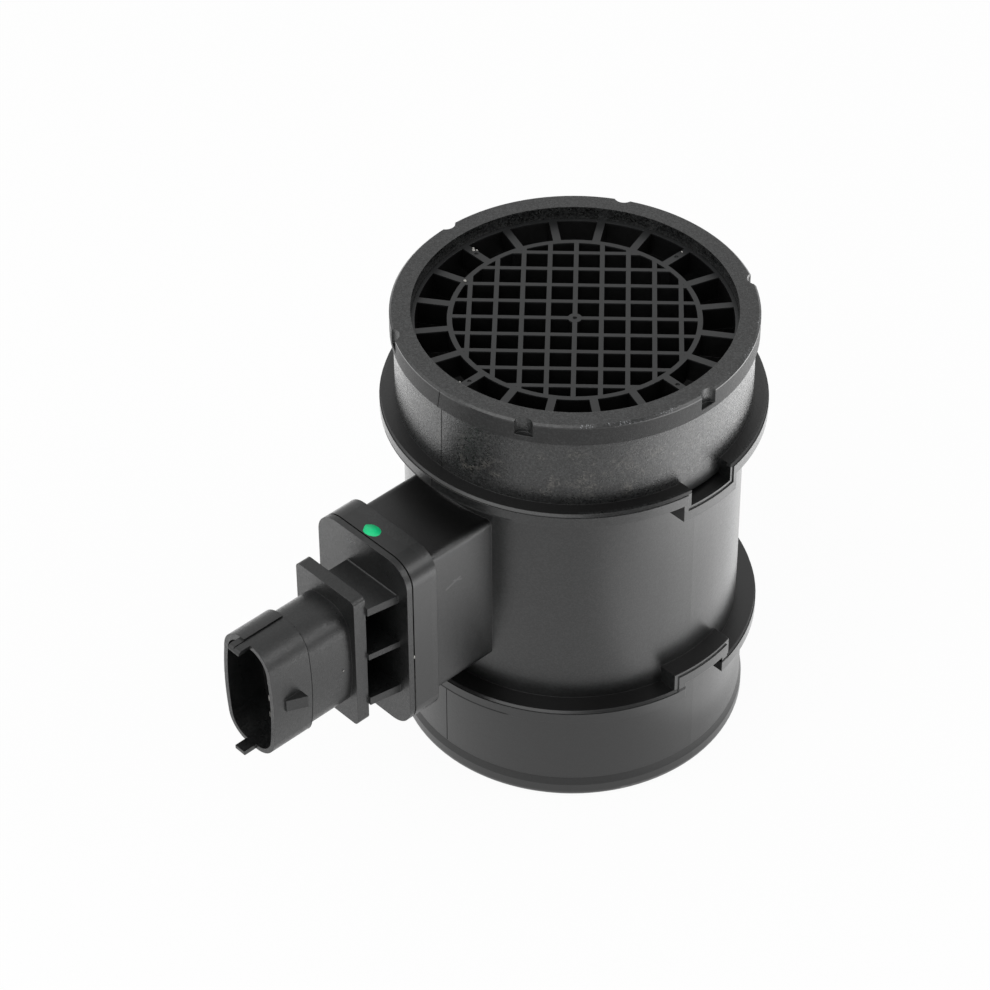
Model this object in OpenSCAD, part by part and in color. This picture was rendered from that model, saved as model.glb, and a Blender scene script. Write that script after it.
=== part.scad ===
// Mass airflow sensor: a moulded duct with a guard grille over its inlet and a
// plug-in sensor module on its side. Millimetres, +Z up. The duct's axis is Z,
// the outlet end lies at z = 0, air enters at the top and the connector faces -Y.

/* [Duct] */
// Radius of the bore that the air flows through
duct_r = 36.2; // [35:0.1:37]
// Height from the outlet end to the top of the inlet rim
tube_h = 115.3; // [112:0.1:125]
// Wall of the tube between the two flanges
mid_wall = 3.1; // [2:0.1:4]
// Wall of the two hose collars
collar_wall = 4.85; // [4.2:0.05:5.5]

/* [Duct ends] */
// How far the bead around the outlet end stands out past the collar
bead_lip = 0.5; // [0.3:0.05:1.2]
// Height of the bead's upright side
bead_h = 4; // [3:0.1:6]
// Radius that rounds the bead's lower edge
bead_round = 2; // [1:0.1:2.8]
// Height of the slope above the bead
bead_slope = 2; // [0.5:0.1:4]
// How far the slope's root lies inside the collar
bead_neck = 0.2; // [0.05:0.05:0.4]
// How far the inlet rim stands out past the collar
rim_lip = 0.85; // [0.4:0.05:1.2]
// Height of the rim around the inlet
rim_h = 5.4; // [4:0.1:8]
// Bevel on the rim's top edge
rim_bevel = 0.5; // [0.2:0.1:0.9]
// Number of notches around the rim
notch_n = 6; // [3:1:12]
// Width of each rim notch
notch_w = 4.6; // [2:0.1:6]
// Depth of each rim notch, from the rim's side
notch_in = 1.5; // [0.8:0.1:2]
// Height of the ledge left under each notch
notch_ledge = 1.4; // [0.4:0.1:3]

/* [Flanges] */
// Height of the outlet flange's upper face
outlet_flange_z = 30.8; // [28:0.1:32]
// Height of the inlet flange's upper face
inlet_flange_z = 92; // [91:0.05:96]
// Thickness of each flange
flange_t = 3.7; // [3:0.1:4.2]
// How far the outlet flange stands out past its collar
outlet_flange_out = 3.05; // [2.5:0.05:4.5]
// How far the inlet flange stands out past its collar
inlet_flange_out = 3.6; // [2.5:0.05:4.5]
// Height of the narrow band along the top of a flange's edge
flange_band = 1; // [0.6:0.1:1.6]
// How far the edge under that band stands out past it
flange_step = 0.3; // [0.2:0.1:0.8]
// Inner width of the locating key, where a flange steps towards the other one
key_w = 12.4; // [8:0.1:18]
// Height of that step
key_step = 4.6; // [3:0.1:6]
// Side walls of the outlet flange's key
outlet_key_wall = 2.9; // [1.5:0.1:4]
// Side walls of the inlet flange's key
inlet_key_wall = 2.1; // [1.5:0.1:4]

/* [Inlet grille] */
// How far the grille lies below the rim's top
grille_sink = 3.3; // [2:0.1:5]
// Depth of the grille along the air's way
grille_t = 6; // [3:0.1:8]
// Width of the ledge in the duct that the grille sits on
grille_seat = 0.9; // [0.6:0.1:1.4]
// Gap between the grille and the duct around it
grille_gap = 0.05; // [0.02:0.01:0.2]
// Pitch of the square grid
grid_pitch = 6; // [5:0.1:8]
// Width of a grid bar
bar_w = 1.1; // [0.8:0.1:1.6]
// Outer radius of the ring around the square grid
ring_r = 28.9; // [24:0.1:31]
// Width of that ring
ring_w = 1.2; // [0.8:0.1:2]
// Number of spokes between the ring and the grille's rim
spoke_n = 20; // [8:1:30]
// Width of a spoke
spoke_w = 1.85; // [1:0.05:2.5]
// Radius of the gate boss at the grid's centre
gate_r = 1.6; // [1:0.1:2.4]

/* [Sensor pocket] */
// Height of the sensor module's axis above the outlet end
sensor_z = 60.8; // [58:0.1:62]
// Distance from the duct's axis to the pocket's face
pocket_reach = 63.6; // [62:0.1:70]
// Width of the pocket's box
pocket_w = 24.2; // [23:0.1:26]
// Height of the pocket's box
pocket_h = 41.5; // [39:0.1:42]
// Wall of the pocket's box
pocket_wall = 2; // [1.6:0.1:2.4]
// Thickness of the flange around the pocket's mouth
pocket_flange_t = 7; // [4:0.1:9]
// Width of the pocket's flange and of the plate that closes it
plate_w = 29.6; // [28:0.1:34]
// Height of the pocket's flange and of the plate that closes it
plate_h = 48.6; // [46:0.1:50]
// Corner radius of the flange and the plate
plate_round = 6; // [3:0.1:8]

/* [Module plate and neck] */
// Thickness of the module's plate
plate_t = 1.5; // [1.2:0.1:3]
// Width of the open seam between the plate and the pocket's flange
seam = 0.35; // [0.1:0.05:0.5]
// Depth of that seam, from the plate's edge
seam_in = 1.3; // [0.4:0.1:2]
// Length of the neck between the plate and the connector's collar
neck_len = 7.85; // [5:0.05:12]
// How far the neck's shelves reach to the open side, at the plate
neck_reach = 11.7; // [10:0.1:13]
// How far they reach to the open side, at the connector's collar
neck_end_reach = 10.3; // [8:0.1:10.4]
// How far the neck reaches to its closed side
neck_back = 5.1; // [3:0.1:8]
// Height of the neck over its top and bottom shelves
neck_h = 29.5; // [26:0.1:34]
// How far the neck lies above the module's axis
neck_rise = 0.6; // [0:0.1:1.5]
// Thickness of the neck's outer shelves
shelf_t = 2.2; // [1.4:0.1:3]
// Thickness of the neck's middle shelf
mid_shelf_t = 1.6; // [1:0.1:2.4]
// How far the neck's solid web reaches past the terminal pins' middle
web_cover = 1.5; // [1:0.1:3]
// Size of the fillet between the plate and the neck's top shelf
neck_fillet = 0.4; // [0.3:0.1:1.5]
// Width of the connector's collar
collar_plate_w = 19.3; // [18:0.1:24]
// Height of the connector's collar
collar_plate_h = 37.6; // [34:0.1:42]
// How far the connector's collar lies below the module's axis
collar_drop = 0.2; // [0:0.05:1]
// Thickness of the connector's collar
collar_plate_t = 3.35; // [2:0.05:5]
// Corner radius of the connector's collar
collar_plate_round = 1.4; // [1:0.1:4]

/* [Connector] */
// How far the connector lies below the module's axis
shroud_drop = 0.45; // [0:0.05:1]
// Width of the connector's shroud
shroud_w = 16.9; // [15:0.1:18]
// Height of the connector's shroud
shroud_h = 31.9; // [29:0.1:33]
// Corner radius of the shroud
shroud_round = 6.5; // [5:0.1:7.5]
// Radius of the shroud's bulging sides
shroud_side_r = 75; // [60:1:120]
// Length of the shroud's narrow root
root_len = 11.75; // [8:0.05:14]
// Length of the shroud's wide mouth part
mouth_len = 11.2; // [9:0.1:16]
// Step between the two at the top and bottom
shroud_step = 1.35; // [0.5:0.05:1.5]
// Step between the two at the sides
side_step = 0.15; // [0.1:0.05:0.5]
// How far the strip beside the groove stands up out of the mouth's top
strip_rise = 0.4; // [0.2:0.1:0.8]
// Wall of the shroud
shroud_wall = 1.2; // [1:0.1:1.6]
// Solid back of the shroud, in front of its collar
shroud_back = 5; // [3:0.1:7]
// How far the coding tongues stand out of the mouth
tongue_out = 3.4; // [2:0.1:5]
// Width of the upper coding tongue
top_tongue_w = 3.6; // [3:0.1:6]
// Thickness of the upper coding tongue
top_tongue_t = 1.1; // [1.1:0.1:1.2]
// Width of the lower coding tongue
low_tongue_w = 3; // [2:0.1:6]
// Thickness of the lower coding tongue
low_tongue_t = 1.2; // [0.8:0.1:1.2]
// Radius of the upper tongue's front edge
top_tongue_round = 1.1; // [0.2:0.1:1.1]
// Radius of the lower tongue's front edge
low_tongue_round = 0.3; // [0.2:0.1:1.2]
// How far both tongues lie off the connector's middle
tongue_shift = 0.4; // [0:0.1:1]
// Length of a lock wedge
wedge_len = 4.6; // [3:0.1:6]
// Height of a lock wedge
wedge_h = 3.2; // [2:0.1:5]
// How far a lock wedge stands out
wedge_out = 2.5; // [1:0.1:3]
// Distance from the mouth to a lock wedge
wedge_back = 3.2; // [2:0.1:4]
// Width of the fine groove along the shroud's top
groove_w = 0.35; // [0.2:0.05:0.6]

/* [Terminals] */
// Number of terminal pins
pin_n = 5; // [2:1:5]
// Distance between terminal pins
pin_pitch = 5; // [3:0.1:5.4]
// Thickness of a terminal pin
pin_t = 0.8; // [0.6:0.05:1]
// Height of a terminal pin's section
pin_h = 1.5; // [0.8:0.05:2]
// How far the pins' tips lie inside the mouth
pin_in = 5.6; // [4:0.1:8]

/* [Measuring blade] */
// Thickness of the blade that stands in the air
blade_w = 11.2; // [10:0.1:13]
// Height of the blade along the air's way
blade_h = 32; // [31:0.1:33]
// Radius of the blade's rounded edges
blade_round = 4.5; // [2:0.1:5]
// How far the blade reaches past the duct's axis
blade_past = 11; // [10.4:0.1:16]
// Thickness of the blade's closed side
blade_floor = 2; // [1.2:0.1:2.6]
// Thickness of the two snap-in covers
cover_t = 1.2; // [0.8:0.1:1.6]
// Width of the ledge that the covers sit on
cover_ledge = 1.2; // [0.8:0.1:1.5]
// Clearance around parts that sit in the module
fit = 0.1; // [0.02:0.01:0.15]
// Length of the electronics chamber
chamber_len = 22; // [20:0.1:23]
// Height of the electronics chamber
chamber_h = 25; // [22:0.1:26]
// Width of the measuring channel
channel_w = 5; // [4:0.1:5.4]
// Diameter of the seal ring's cord
seal_d = 2; // [1.6:0.1:2.4]
// Length of the module's sealing block
seal_len = 7.6; // [6:0.1:9]
// Length of the guide block at the duct's wall
guide_len = 4; // [3:0.1:6]

/* [Electronics] */
// Thickness of the metal base plate
base_t = 1; // [0.6:0.1:1.2]
// Thickness of the ceramic circuit board
board_t = 0.8; // [0.5:0.1:1]
// Width of the circuit board
board_len = 16.6; // [15:0.1:17]
// Height of the circuit board
board_h = 22.4; // [22:0.1:23]
// Side length of the signal chip
chip_side = 6; // [4:0.1:7]
// Width of the tongue that holds the sensor chip
holder_h = 4.4; // [3.6:0.1:5]
// Thickness of that tongue
holder_t = 0.8; // [0.6:0.05:1]
// Diameter of a thermistor lead
lead_d = 0.6; // [0.5:0.05:0.8]
// Radius of the thermistor's bead
bead_r = 1.6; // [1.2:0.05:1.8]

/* [Hidden] */

// Facets of large rounds, small rounds and the finest ones
big = 96;
mid = 40;
fine = 24;
// How far a cutting shape runs past the face that it cuts
past = 1;

// Radii of the duct's outside
mid_r = duct_r + mid_wall;
collar_r = duct_r + collar_wall;
rim_r = collar_r + rim_lip;
bead_outer = collar_r + bead_lip;
bead_top = bead_h + bead_slope;
flange_r = collar_r + max(outlet_flange_out, inlet_flange_out);

// Small turns off the duct's own directions, as the photograph shows them
outlet_key_shift = 0.7;
notch_turn = 0.3;

// The grille's place
seat_r = duct_r + grille_seat;
grille_r = seat_r - grille_gap;
grille_top = tube_h - grille_sink;
grille_z = grille_top - grille_t;
spoke_in = ring_r - ring_w / 2;
grid_turn = 45;
half_grid = ceil(ring_r / grid_pitch);
mark_r = (ring_r + duct_r) / 2;
mark_d = 1;

// Distances from the duct's axis along the module, towards the connector
plate_in = pocket_reach + seam;
plate_out = plate_in + plate_t;
plate_mid = plate_in + plate_t / 2;
collar_in = plate_out + neck_len;
collar_out = collar_in + collar_plate_t;
root_out = collar_out + root_len;
mouth_out = root_out + mouth_len;
socket_floor = collar_out + shroud_back;
shroud_z = sensor_z - shroud_drop;
neck_z = sensor_z + neck_rise;
neck_top = neck_z + neck_h / 2;
neck_low = neck_z - neck_h / 2;

// The pocket's cavity and the block of the module that fills it
cavity_w = pocket_w - 2 * pocket_wall;
cavity_h = pocket_h - 2 * pocket_wall;
cavity_round = 3;
pocket_round = 1.5;
guide_back = 1.5;
block_w = cavity_w - 2 * fit;
block_h = cavity_h - 2 * fit;
block_round = cavity_round - fit;
guide_in = sqrt(pow(duct_r, 2) - pow(cavity_w / 2, 2)) + guide_back;
seal_y = pocket_reach - seal_len / 2;
groove_half = seal_d / 2 + fit;

// The blade's inside, measured across the duct from its axis
blade_x = blade_w / 2;
floor_x = -blade_x + blade_floor;
cover_x = blade_x - cover_t;
chamber_in = 12;
chamber_out = chamber_in + chamber_len;
leg_out = 7;
leg_in = leg_out - channel_w;
bend_r = 1.5;
bend_drop = 6;
exit_rise = 5;
lid_rise = 9;
bend_y = leg_in - bend_r;
bend_z = sensor_z - bend_drop;
exit_z = sensor_z + exit_rise;
leg2_far = bend_y - bend_r - channel_w;
channel_cover_top = sensor_z + lid_rise;
channel_cover_low = bend_z - bend_r - channel_w;

// The electronics, stacked on the chamber's floor
base_top = floor_x + base_t;
board_top = base_top + board_t;
holder_top = base_top + holder_t;
board_edge = 1.4;
board_out = chamber_out - board_edge;
board_in = board_out - board_len;
chip_t = 1.3;
chip_shift = 1;
part_edge = 1.4;
capacitor_n = 4;
capacitor_pitch = 5.2;
capacitor_edge = 2.6;
capacitor_y = board_in + capacitor_edge;
capacitor_size = [1, 1.3, 2];
resistor_n = 6;
resistor_pitch = 3.4;
resistor_edge = 4.4;
resistor_y = board_out - resistor_edge;
resistor_size = [0.5, 0.9, 1.7];
holder_rise = 2;
holder_gap = 0.4;
holder_z = sensor_z + holder_rise;
holder_in = 2.6;
holder_out = board_in - holder_gap;
sensor_len = 2.6;
sensor_h = 3;
sensor_t = 0.4;
sensor_depth = 0.3;
foot_edge = 1.6;
foot_y = board_out - foot_edge;
bead_rise = 6;
bead_reach = 6;
bead_x = (block_w / 2 + blade_x) / 2;
bead_z = sensor_z + bead_rise;
bead_y = guide_in - bead_reach;
lead_gap = 1.3;

// Fine marks: the groove along the shroud's top and the dab of paint
groove_x = -0.5;
groove_deep = 0.3;
dab_x = -0.8;
dab_back = 2;
dab_w = 4.3;
dab_l = 3.1;
dab_round = 1.5;
dab_t = 0.12;

// Shapes used by several parts

module rounded_rect(w, h, r) {
    square([w - 2 * r, h], center = true);
    square([w, h - 2 * r], center = true);
    for (x = [-1, 1], y = [-1, 1])
        translate([x * (w / 2 - r), y * (h / 2 - r)]) circle(r, $fn = mid);
}

// Extrudes an outline in X and Z from one distance to another towards the connector
module outward(from, to, z = sensor_z) {
    translate([0, -from, z]) rotate([90, 0, 0]) linear_extrude(to - from) children();
}

module slab(w, h, r, from, to) {
    outward(from, to) rounded_rect(w, h, r);
}

// The connector's tall outline: bulging sides that run smoothly into the round corners. It is
// drawn in by one inset at the sides and another at the top and bottom
module shroud_outline(inset, end_inset) {
    half_h = shroud_h / 2 - end_inset;
    r = shroud_round - inset;
    side_r = shroud_side_r - inset;
    side_x = shroud_w / 2 - shroud_side_r;
    corner_z = half_h - r;
    corner_x = side_x + sqrt(pow(side_r - r, 2) - pow(corner_z, 2));
    meet = atan2(corner_z, corner_x - side_x);
    meet_x = side_x + side_r * cos(meet);
    meet_z = side_r * sin(meet);
    polygon([
        [-corner_x, half_h], [corner_x, half_h], [meet_x, meet_z], [meet_x, -meet_z],
        [corner_x, -half_h], [-corner_x, -half_h], [-meet_x, -meet_z], [-meet_x, meet_z]]);
    for (x = [-1, 1], z = [-1, 1])
        translate([x * corner_x, z * corner_z]) circle(r, $fn = mid);
    intersection() {
        translate([side_x, 0]) circle(side_r, $fn = 2 * big);
        translate([-side_x, 0]) circle(side_r, $fn = 2 * big);
        square([shroud_w + 2 * past, 2 * meet_z], center = true);
    }
}

// A box given by its low and high corner
module span(low, high) {
    translate(low) cube(high - low);
}

// The duct

module tube_outline() {
    polygon([
        [0, 0], [bead_outer - bead_round, 0], [bead_outer - bead_round, bead_round],
        [bead_outer, bead_round], [bead_outer, bead_h], [collar_r - bead_neck, bead_top],
        [collar_r, bead_top], [collar_r, outlet_flange_z], [mid_r, outlet_flange_z],
        [mid_r, inlet_flange_z - flange_t], [collar_r, inlet_flange_z - flange_t],
        [collar_r, tube_h - rim_h], [rim_r, tube_h - rim_h], [rim_r, tube_h - rim_bevel],
        [rim_r - rim_bevel, tube_h], [0, tube_h]]);
    translate([bead_outer - bead_round, bead_round]) circle(bead_round, $fn = mid);
}

// One flange with its key, which steps up where side is 1 and down where it is -1. The band along
// the top of the edge follows the key
module flange(top, side, out, key_wall, shift) {
    low = top - flange_t;
    middle = top - flange_t / 2;
    edge = collar_r + out;
    step = side * key_step;
    outer_w = key_w + 2 * key_wall;
    inner_w = outer_w - 2 * flange_band;
    difference() {
        union() {
            disc(edge, low, top);
            intersection() {
                key_block(outer_w, shift, side > 0 ? middle : low + step, key_step + flange_t / 2);
                disc(edge, low - key_step, top + key_step);
            }
        }
        difference() {
            key_block(key_w, shift, side > 0 ? low - past : top + step, key_step + past);
            disc(mid_r - past / 2, low - past, top + past);
        }
        difference() {
            union() {
                if (side > 0) {
                    difference() {
                        disc(edge + past, top - flange_band, top + key_step + past);
                        key_block(inner_w, shift, low, flange_t + key_step - flange_band);
                    }
                } else {
                    disc(edge + past, top - flange_band, top + past);
                    key_block(key_w + 2 * flange_band, shift, top + step - flange_band, key_step);
                }
            }
            disc(edge - flange_step, low - key_step - past, top + key_step + 2 * past);
        }
    }
}

module disc(r, low, high) {
    translate([0, 0, low]) cylinder(r = r, h = high - low, $fn = big);
}

module key_block(w, shift, z, h) {
    translate([0, shift - w / 2, z]) cube([flange_r + 2 * past, w, h]);
}

module rim_notches() {
    cut_r = notch_w / 2;
    for (i = [0 : notch_n - 1]) rotate(notch_turn + i * 360 / notch_n)
        translate([rim_r - notch_in + cut_r, 0, tube_h - rim_h + notch_ledge])
            cylinder(r = cut_r, h = rim_h, $fn = mid);
}

module tube_housing() {
    color("#3a3b3c") difference() {
        union() {
            rotate_extrude($fn = big) tube_outline();
            flange(outlet_flange_z, 1, outlet_flange_out, outlet_key_wall, outlet_key_shift);
            flange(inlet_flange_z, -1, inlet_flange_out, inlet_key_wall, 0);
            slab(pocket_w, pocket_h, pocket_round, duct_r / 2, pocket_reach - pocket_flange_t / 2);
            slab(plate_w, plate_h, plate_round, pocket_reach - pocket_flange_t, pocket_reach);
        }
        translate([0, 0, -past]) cylinder(r = duct_r, h = tube_h + 2 * past, $fn = big);
        translate([0, 0, grille_z]) cylinder(r = seat_r, h = tube_h, $fn = big);
        slab(cavity_w, cavity_h, cavity_round, duct_r / 2, pocket_reach + past);
        rim_notches();
    }
}

// The inlet grille

module grid() {
    reach = half_grid * grid_pitch;
    intersection() {
        circle(spoke_in, $fn = big);
        rotate(grid_turn) for (i = [-half_grid : half_grid]) {
            translate([i * grid_pitch, 0]) square([bar_w, 2 * reach], center = true);
            translate([0, i * grid_pitch]) square([2 * reach, bar_w], center = true);
        }
    }
}

module ring(outer, wall) {
    difference() {
        circle(outer, $fn = big);
        circle(outer - wall, $fn = big);
    }
}

module spokes() {
    for (i = [0 : spoke_n - 1]) rotate(i * 360 / spoke_n)
        translate([spoke_in, -spoke_w / 2]) square([duct_r - spoke_in + grille_seat / 3, spoke_w]);
}

module inlet_grille() {
    color("#4a4b4c") translate([0, 0, grille_z]) difference() {
        linear_extrude(grille_t) {
            grid();
            ring(ring_r, ring_w);
            ring(grille_r, grille_r - duct_r);
            spokes();
            circle(gate_r, $fn = fine);
        }
        translate([0, 0, grille_t - bar_w / 3]) cylinder(d = mark_d, h = past, $fn = fine);
        for (i = [0 : 3]) rotate(i * 90) translate([mark_r, 0, grille_t - bar_w / 4])
            cylinder(d = mark_d, h = past, $fn = fine);
    }
}

// The plug-in module

// A shelf of the neck, rooted in the plate
module neck_shelf(z, t) {
    translate([0, 0, z]) linear_extrude(t) polygon([
        [-neck_back, -plate_mid], [neck_reach, -plate_mid], [neck_reach, -plate_out],
        [neck_end_reach, -collar_in], [-neck_back, -collar_in]]);
}

module shelf_fillet() {
    translate([-neck_back, -plate_out, neck_top]) rotate([90, 0, 90])
        linear_extrude(neck_back + neck_reach - neck_fillet) difference() {
            translate([-neck_fillet, -shelf_t / 2]) square([neck_fillet, shelf_t / 2 + neck_fillet]);
            translate([-neck_fillet, neck_fillet]) circle(neck_fillet, $fn = fine);
        }
}

module neck() {
    neck_shelf(neck_top - shelf_t, shelf_t);
    neck_shelf(neck_low, shelf_t);
    neck_shelf(neck_z - mid_shelf_t / 2, mid_shelf_t);
    span([-neck_back, -collar_in, neck_low + shelf_t / 2],
         [web_cover, -plate_mid, neck_top - shelf_t / 2]);
    shelf_fillet();
}

// A coding tongue: a bar out of the mouth's wall, its front edge rounded on the outside
module tongue(w, t, front_round, side) {
    front = -mouth_out - tongue_out;
    turn = side > 0 ? 0 : 180;
    translate([-tongue_shift, 0, shroud_z]) rotate([0, turn, 0]) translate([-w / 2, 0, shroud_h / 2])
        rotate([90, 0, 90]) linear_extrude(w) difference() {
            translate([front, -t]) square([tongue_out + past, t]);
            difference() {
                translate([front - past, -front_round]) square(front_round + past);
                translate([front + front_round, -front_round]) circle(front_round, $fn = mid);
            }
        }
}

// The strip that stands up on the closed side of the groove
module top_strip() {
    outward(root_out, mouth_out, shroud_z) intersection() {
        translate([0, strip_rise]) shroud_outline(0, 0);
        translate([groove_x - shroud_w, shroud_h / 2 - shroud_round])
            square([shroud_w, shroud_round + past]);
    }
}

module lock_wedge(side) {
    root = shroud_w / 2 - shroud_wall / 2;
    tip = shroud_w / 2;
    front = -mouth_out + wedge_back;
    translate([0, 0, sensor_z - wedge_h / 2]) linear_extrude(wedge_h) polygon([
        [side * root, front], [side * (tip + wedge_out / 6), front],
        [side * (tip + wedge_out), front + wedge_len], [side * root, front + wedge_len]]);
}

module shroud() {
    outward(collar_out - collar_plate_t / 2, root_out + shroud_wall / 2, shroud_z)
        shroud_outline(side_step, shroud_step);
    outward(root_out, mouth_out, shroud_z) shroud_outline(0, 0);
    top_strip();
    tongue(top_tongue_w, top_tongue_t, top_tongue_round, 1);
    tongue(low_tongue_w, low_tongue_t, low_tongue_round, -1);
    lock_wedge(1);
    lock_wedge(-1);
}

// The socket, narrow at its floor and wide at its mouth, with a shoulder of the wall's thickness
module socket() {
    shoulder = root_out + shroud_wall;
    narrow = shroud_step + shroud_wall;
    outward(shoulder, mouth_out + past, shroud_z) shroud_outline(shroud_wall, shroud_wall);
    outward(socket_floor, shoulder + past, shroud_z) shroud_outline(narrow, narrow);
}

// The fine mould groove along the top of the shroud's mouth and its tongue
module top_groove() {
    bottom = shroud_z + shroud_h / 2 - groove_deep;
    span([groove_x - groove_w / 2, -mouth_out - tongue_out - past, bottom],
         [groove_x + groove_w / 2, -root_out, bottom + past]);
}

module seal_groove() {
    difference() {
        core = 2 * seal_d + 4 * fit;
        slab(cavity_w + past, cavity_h + past, cavity_round, seal_y - groove_half, seal_y + groove_half);
        slab(cavity_w - core, cavity_h - core, cavity_round - seal_d / 2,
            seal_y - past - groove_half, seal_y + past + groove_half);
    }
}

// The two rooms in the blade, open on one side until their covers go on
module chamber(grow, low, high) {
    span([low, -chamber_out - grow, sensor_z - chamber_h / 2 - grow],
         [high, -chamber_in + grow, sensor_z + chamber_h / 2 + grow]);
}

module channel_lid(grow, low, high) {
    span([low, -leg_out - cover_ledge + grow, channel_cover_low - cover_ledge + grow],
         [high, -leg2_far + cover_ledge - grow, channel_cover_top - grow]);
}

module channel() {
    deep = cover_x - floor_x;
    translate([floor_x, 0, 0]) {
        span([0, -leg_out, bend_z], [deep, -leg_in, sensor_z + blade_h]);
        span([0, -leg2_far - channel_w, bend_z], [deep, -leg2_far, exit_z]);
        translate([0, -bend_y, bend_z]) rotate([90, 0, 90]) linear_extrude(deep) intersection() {
            ring(bend_r + channel_w, channel_w);
            translate([-leg_out * 2, -leg_out * 2]) square([leg_out * 4, leg_out * 2]);
        }
    }
}

function pin_z(i) = shroud_z + (i - (pin_n + 1) / 2) * pin_pitch;

module pin_slots() {
    for (i = [1 : pin_n])
        span([-pin_t / 2 - fit / 2, -socket_floor - past, pin_z(i) - pin_h / 2 - fit / 2],
             [pin_t / 2 + fit / 2, -chamber_out + past, pin_z(i) + pin_h / 2 + fit / 2]);
}

module lead_holes() {
    for (s = [-1, 1]) translate([bead_x, -guide_in - guide_len / 2, bead_z + s * lead_gap])
        rotate([-90, 0, 0]) cylinder(d = lead_d + fit, h = guide_len, $fn = fine);
}

module sensor_carrier() {
    color("#55575a") difference() {
        union() {
            slab(plate_w, plate_h, plate_round, plate_in, plate_out);
            slab(plate_w - 2 * seam_in, plate_h - 2 * seam_in, plate_round - seam_in,
                pocket_reach, plate_mid);
            slab(block_w, block_h, block_round, pocket_reach - seal_len, plate_mid);
            slab(block_w, block_h, block_round, guide_in, guide_in + guide_len);
            slab(blade_w, blade_h, blade_round, -blade_past, pocket_reach);
            neck();
            outward(collar_in, collar_out, sensor_z - collar_drop)
                rounded_rect(collar_plate_w, collar_plate_h, collar_plate_round);
            shroud();
        }
        socket();
        top_groove();
        seal_groove();
        pin_slots();
        chamber(0, floor_x, blade_x + past);
        chamber(cover_ledge, cover_x, blade_x + past);
        channel();
        channel_lid(0, cover_x, blade_x + past);
        span([base_top, -chamber_in - past, holder_z - holder_h / 2 - fit],
             [holder_top + fit, -leg_out + past, holder_z + holder_h / 2 + fit]);
        lead_holes();
    }
}

// The seal ring: a round cord that follows the block's rounded outline
module seal_ring() {
    turn_r = cavity_round - seal_d / 2 - fit / 2;
    half_w = cavity_w / 2 - seal_d / 2 - fit / 2 - turn_r;
    half_h = cavity_h / 2 - seal_d / 2 - fit / 2 - turn_r;
    color("#1c1c1c") translate([0, -seal_y, sensor_z]) rotate([90, 0, 0]) {
        for (s = [0, 1]) rotate(s * 180) {
            translate([half_w, half_h, 0]) corner(turn_r);
            translate([-half_w, half_h, 0]) rotate(90) corner(turn_r);
            translate([half_w + turn_r, 0, 0]) rotate([90, 0, 0])
                cylinder(d = seal_d, h = 2 * half_h, center = true, $fn = fine);
            translate([0, half_h + turn_r, 0]) rotate([0, 90, 0])
                cylinder(d = seal_d, h = 2 * half_w, center = true, $fn = fine);
        }
    }
}

module corner(r) {
    rotate_extrude(angle = 90, $fn = mid) translate([r, 0]) circle(d = seal_d, $fn = fine);
}

// The electronics

module base_plate() {
    color("#b9bcc0") chamber(-fit, floor_x, base_top);
}

module circuit_board() {
    color("#e6e4dc") span([base_top, -board_out, sensor_z - board_h / 2],
        [board_top, -board_in, sensor_z + board_h / 2]);
}

module signal_chip() {
    chip_y = (board_in + board_out) / 2 + chip_shift;
    color("#232427") translate([board_top, -chip_y, sensor_z + chip_shift])
        cube([chip_t, chip_side, chip_side]);
}

// Small parts stand in a column beside the signal chip
module board_column(count, y, pitch, size) {
    for (i = [0 : count - 1])
        translate([board_top, -y, sensor_z - board_h / 2 + part_edge + i * pitch]) cube(size);
}

module board_capacitors() {
    color("#b08a5a") board_column(capacitor_n, capacitor_y, capacitor_pitch, capacitor_size);
}

module board_resistors() {
    color("#2b2b2e") board_column(resistor_n, resistor_y, resistor_pitch, resistor_size);
}

module terminal_pin(i) {
    low = pin_z(i) - pin_h / 2;
    high = pin_z(i) + pin_h / 2;
    color("#c7c9cc") {
        span([-pin_t / 2, -mouth_out + pin_in, low], [pin_t / 2, -foot_y, high]);
        span([board_top, -foot_y - pin_t, low], [pin_t / 2, -foot_y, high]);
    }
}

module chip_holder() {
    color("#8f9498") difference() {
        span([base_top, -holder_out, holder_z - holder_h / 2],
             [holder_top, -holder_in, holder_z + holder_h / 2]);
        sensor_place(fit / 2, past);
    }
}

module sensor_place(grow, high) {
    y = (leg_in + leg_out) / 2;
    floor = holder_top - sensor_depth;
    span([floor, -y - sensor_len / 2 - grow, holder_z - sensor_h / 2 - grow],
         [floor + high, -y + sensor_len / 2 + grow, holder_z + sensor_h / 2 + grow]);
}

module sensor_chip() {
    color("#4d5f80") sensor_place(0, sensor_t);
}

module electronics_cover() {
    color("#4f5154") chamber(cover_ledge - fit, cover_x, blade_x);
}

module channel_cover() {
    color("#4f5154") difference() {
        channel_lid(fit, cover_x, blade_x);
        span([cover_x - past, -leg2_far - channel_w + cover_ledge, exit_z - channel_w],
             [blade_x + past, -leg2_far - cover_ledge / 2, exit_z]);
    }
}

module thermistor_leads() {
    color("#a9adb1") for (s = [-1, 1])
        translate([bead_x, -guide_in - guide_len / 2, bead_z + s * lead_gap])
            rotate([-90, 0, 0]) cylinder(d = lead_d, h = guide_in + guide_len / 2 - bead_y, $fn = fine);
}

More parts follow.
